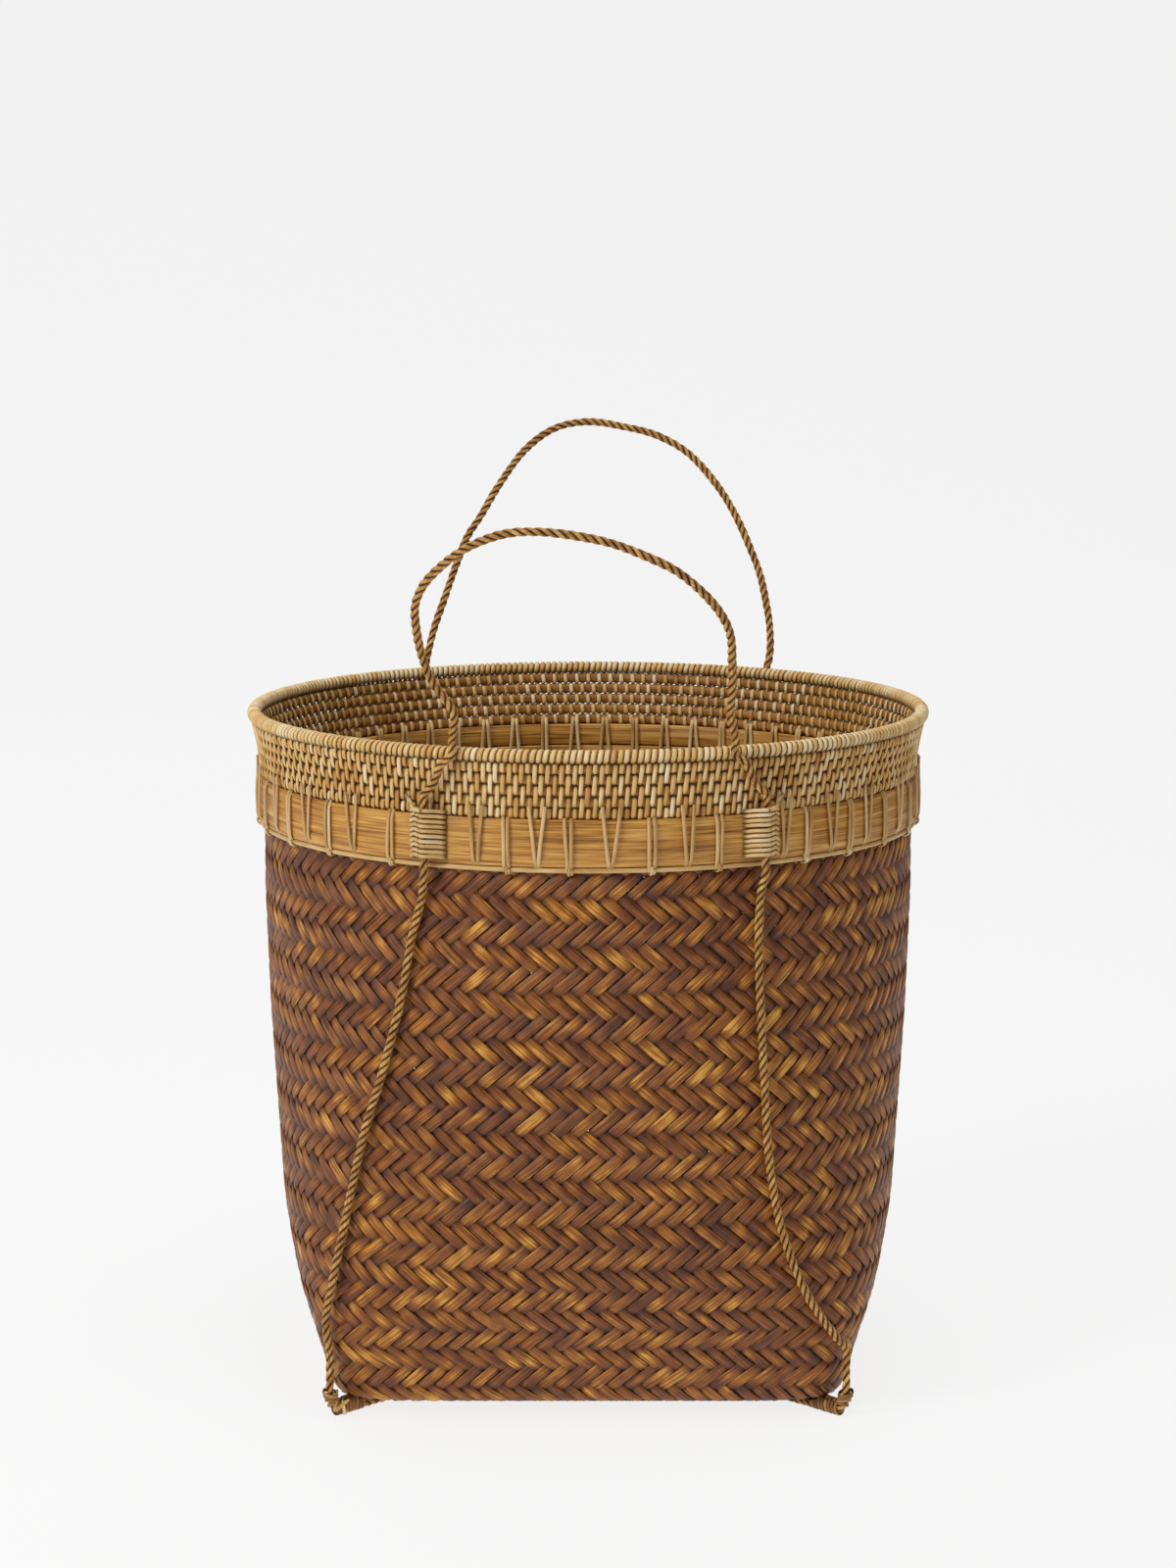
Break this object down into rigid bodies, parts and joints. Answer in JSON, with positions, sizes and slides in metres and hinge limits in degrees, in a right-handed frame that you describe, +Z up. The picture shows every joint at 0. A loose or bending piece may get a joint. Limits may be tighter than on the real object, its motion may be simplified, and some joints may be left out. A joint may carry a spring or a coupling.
{
  "type": "log basket",
  "caption": "Plaited bamboo log basket with a round mouth, squared base, wrapped cane collar and rope sling handles.",
  "frame": {"origin": "on the floor under the middle of the base, where the lower sling rope's flat underside crosses the centre", "axes": "+Z up, -Y the front, +X to the right seen from the front; the base is square to X and Y"},
  "size_m": [0.4194, 0.518, 0.5695],
  "materials": {
    "bamboo_weave": "smoked bamboo strips, satin",
    "bamboo_band": "split bamboo hoop, satin",
    "rattan_binding": "rattan skin strand, satin",
    "rattan_weave": "rattan core and skin strand, satin",
    "cane_rod": "cane rod, satin",
    "rope": "twisted plant fibre rope"
  },
  "bodies": {
    "basket": {"woven_body": "bamboo_weave", "outer_band": "bamboo_band", "inner_band": "bamboo_band", "lower_binding_ring": "rattan_binding", "outer_stitching": "rattan_binding", "inner_stitching": "rattan_binding", "collar_weave_outer": "rattan_weave", "collar_weave_inner": "rattan_weave", "rim_rod": "cane_rod", "rim_wrap": "rattan_weave", "sling_rope_a": "rope", "sling_rope_b": "rope", "collar_rod_1": "cane_rod", "collar_rod_2": "cane_rod", "collar_rod_3": "cane_rod", "collar_rod_4": "cane_rod", "collar_rod_5": "cane_rod", "lashing_pad_front_left": "rattan_binding", "corner_lashing_front_left": "rattan_binding", "lashing_pad_front_right": "rattan_binding", "corner_lashing_front_right": "rattan_binding", "lashing_pad_back_left": "rattan_binding", "corner_lashing_back_left": "rattan_binding", "lashing_pad_back_right": "rattan_binding", "corner_lashing_back_right": "rattan_binding"},
    "front_handle": {"front_handle_rope": "rope"},
    "back_handle": {"back_handle_rope": "rope"}
  },
  "joints": [
    {"name": "front_handle_swing", "type": "hinge", "parent": "basket", "child": "front_handle", "pos_m": [0, -0.19753, 0.413], "axis": [1, 0, 0], "range_deg": [-116, 95]},
    {"name": "back_handle_swing", "type": "hinge", "parent": "basket", "child": "back_handle", "pos_m": [0, 0.1806, 0.413], "axis": [-1, 0, 0], "range_deg": [-108, 103]}
  ]
}
